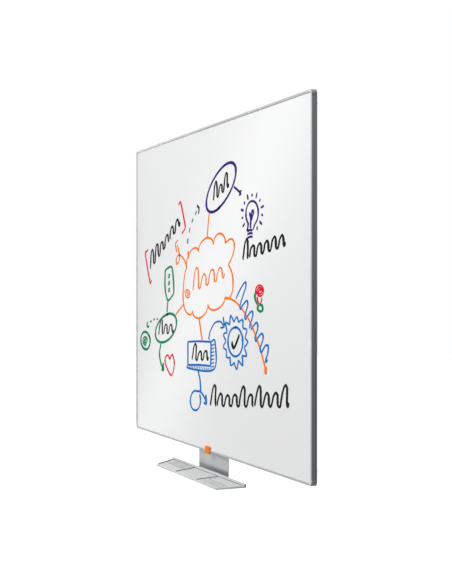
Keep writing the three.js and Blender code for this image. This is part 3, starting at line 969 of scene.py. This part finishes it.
# %% Pen
RING_PARTS = 48
RING_GROWTH = 0.03
WOBBLE = 0.02
SPIRAL_PARTS = 14
SPIRAL_CORE = 0.12
DOT_REACH = 0.8
DOT_WIDTH = 1.7
WAVE_SLANT = 0.35
WAVE_JITTER = 0.03
WAVE_TAIL = 0.15
WAVE_STEP = 2.0
ARCH = ((0, 0), (0.06, 0.3), (0.14, 0.75), (0.34, 1), (0.56, 0.85), (0.66, 0.5), (0.72, 0.12), (0.86, -0.02))
ARCH_HEIGHTS = (0.5, 0.54, 0.58, 0.52, 0.9)


def turned(length, degrees):
    """A vector of a length, turned from the X axis."""
    made = Vector((length, 0))
    made.rotate(Matrix.Rotation(math.radians(degrees), 2))
    return made


class Pen(Nib):
    """A nib in a hand, with the shapes that the hand knows."""

    def ring(self, centre, radii, tilt, width, start, seed, sweep=372):
        """A hand-drawn ellipse. A sweep over 360 degrees makes its ends overlap."""
        phase = random.Random(seed).uniform(0, math.tau)
        points = []
        for i in range(RING_PARTS + 1):
            angle = math.radians(start + sweep * i / RING_PARTS)
            grow = 1 + WOBBLE * math.sin(2 * angle + phase) + RING_GROWTH * i / RING_PARTS
            flat = Vector((radii[0] * grow * math.cos(angle), radii[1] * grow * math.sin(angle)))
            flat.rotate(Matrix.Rotation(math.radians(tilt), 2))
            points.append(Vector(centre) + flat)
        self.stroke(points, width)

    def arrow_head(self, tip, direction, size, width, spread=32):
        for turn in (-spread, spread):
            self.stroke([Vector(tip) + turned(-size, direction + turn), Vector(tip)], width)

    def dot(self, centre, radius):
        for turn in (0, 60, 120):
            reach = turned(radius * DOT_REACH, turn)
            points = [Vector(centre) - reach, Vector(centre), Vector(centre) + reach]
            self.trace(points, radius * DOT_WIDTH)

    def scrawl(self, start, end, height, waves, seed, width, gaps=()):
        """A quick wave that stands where a word would, with no letter in it."""
        hand = random.Random(seed)
        start = Vector(start)
        run = Vector(end) - start
        along = run.normalized()
        up = Vector((-along.y, along.x))
        points = []
        tall = [1.0] + [hand.choice(ARCH_HEIGHTS) for _ in range(waves - 1)]
        for i in range(waves):
            for across, rise in ARCH:
                share = (i + across + hand.uniform(-WAVE_JITTER, WAVE_JITTER)) / waves
                lift = height * tall[i] * rise
                points.append(start + run * share + up * lift + along * lift * WAVE_SLANT)
            if i in gaps:
                self.trace(curve_through(points, WAVE_STEP), width)
                points = []
        points.append(start + run + up * height * WAVE_TAIL)
        self.trace(curve_through(points, WAVE_STEP), width)

    def spiral(self, centre, radii, turns, width, start=0):
        points = []
        count = round(turns * SPIRAL_PARTS)
        for i in range(count + 1):
            angle = math.radians(start) + math.tau * turns * i / count
            grow = SPIRAL_CORE + (1 - SPIRAL_CORE) * i / count
            reach = Vector((radii[0] * math.cos(angle), radii[1] * math.sin(angle)))
            points.append(Vector(centre) + reach * grow)
        self.stroke(points, width)


pens = {colour: Pen(colour) for colour in INKS}
black, blue, purple, green, red, orange = pens.values()
print("pens:", len(pens))

# %% [markdown]
# ## The drawing
#
# The board shows a mind map: a cloud in the middle, and bubbles, arrows and small drawings round it. Its
# words are only waves of the pen. Places are in millimetres from the board's centre. The cloud comes first.
# Each of its lumps is half an ellipse between two points, because an arc that is given by its ends is easier
# to join to the next one than an arc that is given by its centre.

# %% The cloud in the middle
LUMP_PARTS = 14


def bulging(first, second, bulge):
    """Half an ellipse that bulges to the left of the way from one point to the next."""
    a, b = Vector(first), Vector(second)
    out = Vector((-(b - a).y, (b - a).x)).normalized() * bulge
    angles = [math.pi * i / LUMP_PARTS for i in range(LUMP_PARTS + 1)]
    return [a + (b - a) * (1 - math.cos(t)) / 2 + out * math.sin(t) for t in angles]


cloud = (
    ((-165, 45), (-150, 68), 9),
    ((-150, 68), (-75, 80), 14),
    ((-75, 80), (35, 92), 21),
    ((35, 92), (117, 92), 22),
    ((117, 92), (135, 48), 52),
    ((135, 48), (113, -18), 44),
    ((113, -18), (-5, -33), 18),
    ((-5, -33), (-120, -48), 22),
    ((-120, -48), (-188, -32), 15),
    ((-188, -32), (-165, 45), 14),
)
for first, second, bulge in cloud:
    orange.trace(curve_through(bulging(first, second, bulge), step=2.5), 4.2)
orange.scrawl((-118, -4), (112, 24), 46, 4, 4, 4.2)
orange.spiral((-160, -12), (25, 11), 1.9, 3.5, start=200)
print("cloud of", len(cloud), "lumps")

# %% [markdown]
# ## Lines and arrows
#
# Everything hangs on the cloud by lines. They could be straight segments, but a hand swings, so each line
# is a few points with a smooth curve through them. A dashed line leads up from the cloud and changes colour
# on the way.

# %% Lines and arrows from the cloud
orange.stroke([(5, 160), (-2, 140), (-11, 107)], 4.4)
orange.stroke([(-188, -34), (-225, -47), (-264, -62)], 4.4)
orange.stroke([(-70, -62), (-60, -85), (-45, -111)], 4.4)
orange.stroke([(113, -18), (187, -28), (269, -63), (330, -112), (364, -152)], 4.2)
orange.dot((366, -156), 6)
orange.arrow_head((368, -163), -72, 15, 4.2, 22)
orange.stroke([(-165, 45), (-180, 62), (-222, 77), (-250, 68), (-243, 56), (-222, 70), (-240, 100)], 4.0)
orange.arrow_head((-258, 104), 158, 24, 4.0, 38)

dashes = (
    (orange, (-152, 70), (-154, 84)),
    (blue, (-158, 99), (-155, 112)),
    (red, (-146, 124), (-138, 135)),
    (green, (-126, 145), (-114, 154)),
    (green, (-101, 161), (-87, 169)),
)
for pen, first, second in dashes:
    pen.stroke([first, second], 5.0)
purple.stroke([(-87, 181), (-70, 173), (-76, 162)], 5.0)
print("arrows drawn")

# %% [markdown]
# ## A bubble and a lamp
#
# The bubble is a tilted ring with a wave in it. The lamp's glass is a ring that is left open at its foot,
# with three stripes below it for the socket. Its rays could be placed one by one, but a loop round the
# glass keeps them even, and only their lengths take turns.

# %% The bubble and the lamp
purple.ring((85, 208), (101, 37), 17, 6.0, start=250, seed=3)
purple.stroke([(172, 204), (190, 198), (212, 190)], 4.6)
purple.dot((213, 189), 6)
black.scrawl((34, 184), (140, 208), 34, 3, 11, 4.8)

lamp = (286, 145)
purple.ring(lamp, (37, 23), 0, 4.4, start=-62, sweep=304, seed=5)
purple.stroke([(262, 126), (260, 119), (259, 113)], 4.6)
purple.stroke([(309, 127), (299, 120), (292, 113)], 4.6)
for level in (112, 106, 99):
    purple.stroke([(257, level - 1), (274, level + 1), (290, level)], 4.6)
purple.stroke([(276, 116), (278, 136), (268, 147)], 5.0)
purple.stroke([(279, 130), (294, 146), (287, 150), (279, 139)], 5.0)
for angle in range(-60, 241, 25):
    turn = math.radians(angle)
    reach = Vector((38 * math.cos(turn), 22 * math.sin(turn)))
    near, far = (1.38, 1.9) if angle % 2 else (1.44, 1.74)
    purple.stroke([Vector(lamp) + reach * near, Vector(lamp) + reach * far], 4.8)
print("bubble and lamp drawn")

# %% [markdown]
# ## Where words would stand
#
# Real letters could be drawn, but they would say something, and nothing here should. So quick waves stand
# in for them, each with its own height, number of arches and seed, so that no two look copied. A gap in a
# wave reads as the space between two words, and a pair of red brackets holds one of the waves.

# %% The waves that stand for words
black.scrawl((228, 56), (476, 78), 38, 6, 21, 5.4, gaps=(0,))
black.scrawl((-478, 50), (-216, 146), 36, 6, 35, 5.6, gaps=(3,))
black.scrawl((12, -246), (494, -214), 42, 10, 47, 5.4, gaps=(0, 5))
black.scrawl((-402, -108), (-272, -98), 36, 3, 52, 4.6, gaps=(0,))
black.scrawl((-124, -155), (0, -150), 34, 3, 61, 4.8)
blue.scrawl((186, -20), (372, -142), 60, 6, 77, 4.2, gaps=(2,))
red.stroke([(-498, 97), (-512, 92), (-525, 88), (-505, 52), (-480, 16), (-474, 17), (-466, 23)], 4.6)
red.stroke([(-232, 189), (-222, 194), (-214, 195), (-196, 170), (-177, 140), (-186, 131), (-204, 124)], 4.6)
print("waves drawn")

# %% [markdown]
# ## The left side
#
# On the left are a green bubble, a speech balloon with three dots, a ring with a spiral in it, and a red
# heart. They use the same few pen shapes as the rest, because one hand drew them all.

# %% The green bubble and its friends
green.ring((-340, -91), (91, 30), 11, 5.8, start=70, seed=9)
green.stroke([(-320, -27), (-325, -40), (-328, -54)], 5.0)
speech = [(-343, 44), (-312, 50), (-288, 50), (-276, 30), (-271, -6)]
speech += [(-290, -18), (-320, -26), (-339, -9), (-346, 12), (-343, 45)]
green.stroke(speech, 5.2)
for z in (30, 14, -2):
    green.dot((-310, z), 6)
for first, second in (((-407, -72), (-420, -70)), ((-436, -71), (-450, -73)), ((-466, -76), (-480, -79))):
    green.stroke([first, second], 5.0)
green.stroke([(-508, -78), (-506, -90), (-488, -90)], 5.0)
green.ring((-525, -125), (43, 21), 0, 6.0, start=30, seed=12)
green.spiral((-525, -125), (26, 12), 1.8, 4.6)
green.stroke([(-380, -127), (-394, -150), (-384, -172), (-360, -189)], 5.2)
green.arrow_head((-357, -191), -40, 20, 5.2)
heart = [(-305, -162), (-322, -153), (-345, -163), (-330, -182)]
heart += [(-289, -198), (-266, -170), (-283, -150), (-304, -162)]
red.stroke(heart, 4.4)
print("green bubble drawn")

# %% [markdown]
# ## The lower middle
#
# A box stands here with a hatched side, next to a jagged sun with a tick in it, and a small loop. The box
# could be four straight lines, but no hand draws those, so each side bends a little at its middle. The
# sun's points take turns between near and far, and chance moves each of them a little.

# %% The box, the sun and the loop
box = [(-156, -117), (17, -112), (15, -163), (-156, -168), (-156, -117)]
for first, second in zip(box, box[1:]):
    middle = (Vector(first) + Vector(second)) / 2 + Vector((0.8, 1.2))
    blue.stroke([first, middle, second], 4.4)
blue.stroke([(17, -112), (45, -111), (36, -169), (-150, -175), (-156, -168)], 4.2)
SIDE_HATCH = 7.6
FOOT_HATCH = 12.6
for step in range(7):
    low = -165 + step * SIDE_HATCH
    blue.stroke([(18, low), (40, low + 3)], 3.0)
for step in range(14):
    left = -146 + step * FOOT_HATCH
    blue.stroke([(left, -174), (left + 7, -167)], 3.0)
blue.stroke([(3, -109), (8, -94), (40, -73), (80, -68), (104, -76)], 4.0)
blue.stroke([(100, -58), (109, -77), (82, -81)], 4.0)

SUN_CORNERS = 26
SUN_INNER = 0.74
sun = Vector((181, -107))
blue.ring(sun, (46, 29), 0, 4.6, start=80, seed=14)
hand = random.Random(5)
ray_points = []
for i in range(SUN_CORNERS + 1):
    turn = math.tau * i / SUN_CORNERS
    reach = (SUN_INNER if i % 2 else 1.0) * hand.uniform(0.94, 1.06)
    ray_points.append(sun + Vector((82 * math.cos(turn), 54 * math.sin(turn))) * reach)
for first, second in zip(ray_points, ray_points[1:]):
    blue.trace(curve_through([first, (first + second) / 2 + (second - sun) * 0.03, second], step=2.5), 3.8)
black.stroke([(158, -108), (174, -119), (208, -92)], 6.4)

blue.stroke([(-78, -176), (-63, -196), (-57, -222)], 4.2)
blue.ring((-98, -243), (38, 21), 8, 4.4, start=60, sweep=330, seed=17)
blue.stroke([(-90, -222), (-58, -222), (-30, -232), (-17, -243)], 4.4)
blue.arrow_head((-14, -246), -40, 22, 4.4, 34)
print("box, sun and loop drawn")

# %% [markdown]
# ## The flower, and the ink laid down
#
# A small flower comes last. After it, each pen lays down all its ribbons as one piece that rides on the
# board. One piece for each stroke would work too, but would be slow and hard to keep track of.

# %% The flower
red.spiral((332, -6), (26, 13), 2.6, 3.6)
red.stroke([(316, -16), (322, -27), (336, -30), (345, -18)], 4.0)
green.stroke([(330, -32), (318, -38), (330, -44), (348, -42), (345, -33), (331, -32)], 5.0)
green.stroke([(302, -10), (306, -22), (320, -32)], 4.8)
strokes = Nib.strokes
for pen in pens.values():
    pen.lay_down()
proud = (INK_FILM + INK_STEP * strokes) / MM
print(strokes, "strokes in", len(pens), "inks, the last", round(proud, 2), "mm proud")

# %% [markdown]
# ## Floor
#
# The floor is plain and pale, and lies as far below the board as it would in a room. Under the lamps alone
# it would turn grey, so it gives off light of its own. It is hidden from reflections and from scattered
# light, so that its glow doesn't reach the board.

# %% Floor
FLOOR_BELOW = 1.35
FLOOR_RADIUS = 30
FLOOR_SIDES = 64


def make_floor_finish():
    finish = Finish("floor")
    return finish.done(
        Base_Color=finish.blend(finish.noise(6), (0.9, 0.9, 0.9), (0.93, 0.93, 0.93)),
        Roughness=0.8,
        Emission_Color=(1.0, 1.0, 1.0),
        Emission_Strength=0.8,
    )


floor_mesh = bpy.data.meshes.new("floor")
floor_shape = bmesh.new()
bmesh.ops.create_circle(floor_shape, cap_ends=True, radius=FLOOR_RADIUS, segments=FLOOR_SIDES)
floor_shape.to_mesh(floor_mesh)
floor_shape.free()
floor_mesh.materials.append(make_floor_finish())
floor = bpy.data.objects.new("floor", floor_mesh)
floor.location.z = -FLOOR_BELOW
floor.visible_diffuse = False
floor.visible_glossy = False
bpy.context.scene.collection.objects.link(floor)
print("floor", FLOOR_BELOW, "m below the board's centre")

# %% [markdown]
# ## Lights
#
# One broad panel in front of the board and above it gives the soft light of a bright room. A glossy face
# needs something to mirror as well, so a long leaning strip far to the left draws a bright band across the
# enamel. A third light, narrow and close to the wall, comes from the far left. It grazes the neck and the
# tray, so that their edges catch some light.

# %% Lights
STRIP_LEAN = math.radians(-23.5)
STRIP_FORWARD = -0.965


def soft_light(name, place, aim, size, watts):
    data = bpy.data.lights.new(name, "AREA")
    data.shape = "RECTANGLE"
    data.size, data.size_y = size
    data.energy = watts
    made = bpy.data.objects.new(name, data)
    made.location = place
    made.rotation_euler = (Vector(aim) - Vector(place)).to_track_quat("-Z", "Y").to_euler()
    bpy.context.scene.collection.objects.link(made)
    return made


soft_light("key", place=(0.3, -3.6, 2.8), aim=(0, 0, 0), size=(2.6, 2.0), watts=177)
strip_place = (-3.0, STRIP_FORWARD, 0.06)
strip = soft_light("strip", strip_place, aim=(0, STRIP_FORWARD, 0.06), size=(0.22, 3.2), watts=2.0)
strip.rotation_euler.rotate_axis("Z", STRIP_LEAN)
soft_light("side", place=(-2.2, -0.06, 0.3), aim=(0, -0.05, -0.39), size=(0.12, 0.9), watts=7)
print("lights: key, strip and side")

# %% [markdown]
# ## The room
#
# The camera sees plain white behind the board, but a metal or an enamel in a white room would have nothing
# to mirror. So what they reflect comes from a grey room, light on the left and dark on the right, and the
# frame's right side reads as metal. Both are backgrounds of one world, and the kind of ray chooses between
# them.

# %% World
LEFT_END, LEFT_GREY = 0.2, (0.6, 0.6, 0.6)
RIGHT_END, RIGHT_GREY = 0.75, (0.15, 0.16, 0.167)

world = bpy.data.worlds.new("studio")
bpy.context.scene.world = world
world.use_nodes = True
studio = Nodes(world.node_tree)
backdrop = studio.tree.nodes["Background"]
backdrop.inputs["Color"].default_value = (1, 1, 1, 1)
backdrop.inputs["Strength"].default_value = 1.0
direction = studio.node("ShaderNodeTexCoord", output="Generated")
rightward = studio.node("ShaderNodeSeparateXYZ", sockets={"Vector": direction}, output="X")
share = studio.node("ShaderNodeMapRange", sockets={"Value": rightward, "From Min": -1})
grey = studio.ramp(share, [(LEFT_END, LEFT_GREY), (RIGHT_END, RIGHT_GREY)])
room = studio.node("ShaderNodeBackground", sockets={"Color": grey})
seen = studio.node("ShaderNodeLightPath", output="Is Camera Ray")
either = {"Fac": seen, 1: room, 2: Socket(studio, backdrop.outputs[0])}
chosen = studio.node("ShaderNodeMixShader", sockets=either)
studio.tree.links.new(chosen.output, studio.tree.nodes["World Output"].inputs["Surface"])
print("world:", len(studio.tree.nodes), "nodes")
